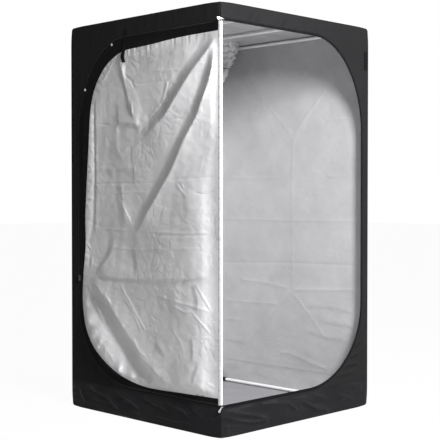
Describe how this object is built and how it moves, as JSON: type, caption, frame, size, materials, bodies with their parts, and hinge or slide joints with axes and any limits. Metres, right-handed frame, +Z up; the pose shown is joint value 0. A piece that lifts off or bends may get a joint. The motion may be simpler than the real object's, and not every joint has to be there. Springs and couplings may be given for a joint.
{
  "type": "indoor grow tent",
  "caption": "Square cloth grow tent on a steel tube frame, with a D-shaped zipped door folded back round the corner, a roof duct sleeve and a low air inlet.",
  "frame": {"origin": "centre of the tent's underside, on the floor", "axes": "+Z up; the door opening is in the -Y face; the door is sewn at the -X -Y corner and folded back on to the -X face"},
  "size_m": [1.024, 1.0083, 1.8018],
  "materials": {
    "white_steel": "gloss white paint",
    "black_plastic": "matt moulded",
    "black_cloth": "black woven cloth outside, silver film inside",
    "base_cloth": "waterproof coated cloth, slightly shiny",
    "silver_cloth": "creased silver film",
    "grey_binding": "stitched binding",
    "black_tape": "matt woven tape",
    "zip_metal": "nickel plated",
    "net": "open mesh"
  },
  "bodies": {
    "tent": {"post_lower_front_left": "white_steel", "post_lower_front_right": "white_steel", "post_lower_back_right": "white_steel", "post_lower_back_left": "white_steel", "post_upper_front_left": "white_steel", "post_upper_front_right": "white_steel", "post_upper_back_right": "white_steel", "post_upper_back_left": "white_steel", "rail_bottom_front": "white_steel", "rail_bottom_back": "white_steel", "rail_bottom_left": "white_steel", "rail_bottom_right": "white_steel", "rail_top_front": "white_steel", "rail_top_back": "white_steel", "rail_top_left": "white_steel", "rail_top_right": "white_steel", "connector_bottom_front_left": "black_plastic", "connector_bottom_front_right": "black_plastic", "connector_bottom_back_right": "black_plastic", "connector_bottom_back_left": "black_plastic", "connector_top_front_left": "black_plastic", "connector_top_front_right": "black_plastic", "connector_top_back_right": "black_plastic", "connector_top_back_left": "black_plastic", "base_floor_skirt": "base_cloth", "wall_left": "black_cloth", "wall_right": "black_cloth", "wall_back": "black_cloth", "front_panel": "black_cloth", "roof": "black_cloth", "rim_zip": "black_tape", "port_collar": "black_tape", "roof_seam_tape": "black_tape", "label_tab": "black_tape", "strap_anchor": "black_tape", "duct_sleeve": "silver_cloth", "sleeve_drawstring": "black_tape", "vent_net": "net"},
    "door": {"door_cloth": "silver_cloth", "door_zip": "black_tape", "door_binding": "grey_binding", "door_strap": "black_tape", "door_eyelet_top": "zip_metal", "door_eyelet_side": "zip_metal", "door_toggle": "black_plastic"},
    "top_slider": {"slider_top": "zip_metal"},
    "top_slider_pull": {"slider_top_pull": "zip_metal"},
    "bottom_slider": {"slider_bottom": "zip_metal"},
    "bottom_slider_pull": {"slider_bottom_pull": "zip_metal"},
    "left_roof_bar": {"roof_bar_left": "white_steel", "roof_bar_left_hook_front": "black_plastic", "roof_bar_left_hook_back": "black_plastic"},
    "right_roof_bar": {"roof_bar_right": "white_steel", "roof_bar_right_hook_front": "black_plastic", "roof_bar_right_hook_back": "black_plastic"},
    "vent_flap": {"vent_flap": "black_cloth"},
    "cord_lock": {"cord_lock": "black_plastic"}
  },
  "joints": [
    {"name": "door_hinge", "type": "hinge", "parent": "tent", "child": "door", "pos_m": [-0.5005, -0.5, 0], "axis": [0, 0, 1], "range_deg": [0, 270]},
    {"name": "top_slider_slide", "type": "slide", "parent": "tent", "child": "top_slider", "axis": [1, 0, 0], "range_m": [0, 0.57]},
    {"name": "top_pull_swing", "type": "hinge", "parent": "top_slider", "child": "top_slider_pull", "pos_m": [-0.494, -0.504, 1.727], "axis": [0, 0, 1], "range_deg": [0, 180]},
    {"name": "bottom_slider_slide", "type": "slide", "parent": "tent", "child": "bottom_slider", "axis": [1, 0, 0], "range_m": [0, 0.54]},
    {"name": "bottom_pull_swing", "type": "hinge", "parent": "bottom_slider", "child": "bottom_slider_pull", "pos_m": [-0.494, -0.504, 0.1333], "axis": [0, 0, 1], "range_deg": [0, 180]},
    {"name": "left_roof_bar_slide", "type": "slide", "parent": "tent", "child": "left_roof_bar", "axis": [1, 0, 0], "range_m": [-0.2, 0.1]},
    {"name": "right_roof_bar_slide", "type": "slide", "parent": "tent", "child": "right_roof_bar", "axis": [1, 0, 0], "range_m": [-0.1, 0.05]},
    {"name": "vent_flap_lift", "type": "hinge", "parent": "tent", "child": "vent_flap", "pos_m": [0, 0.5023, 0.38], "axis": [1, 0, 0], "range_deg": [0, 170]},
    {"name": "cord_lock_slide", "type": "slide", "parent": "tent", "child": "cord_lock", "axis": [0, 0, -1], "range_m": [0, 0.03]}
  ]
}
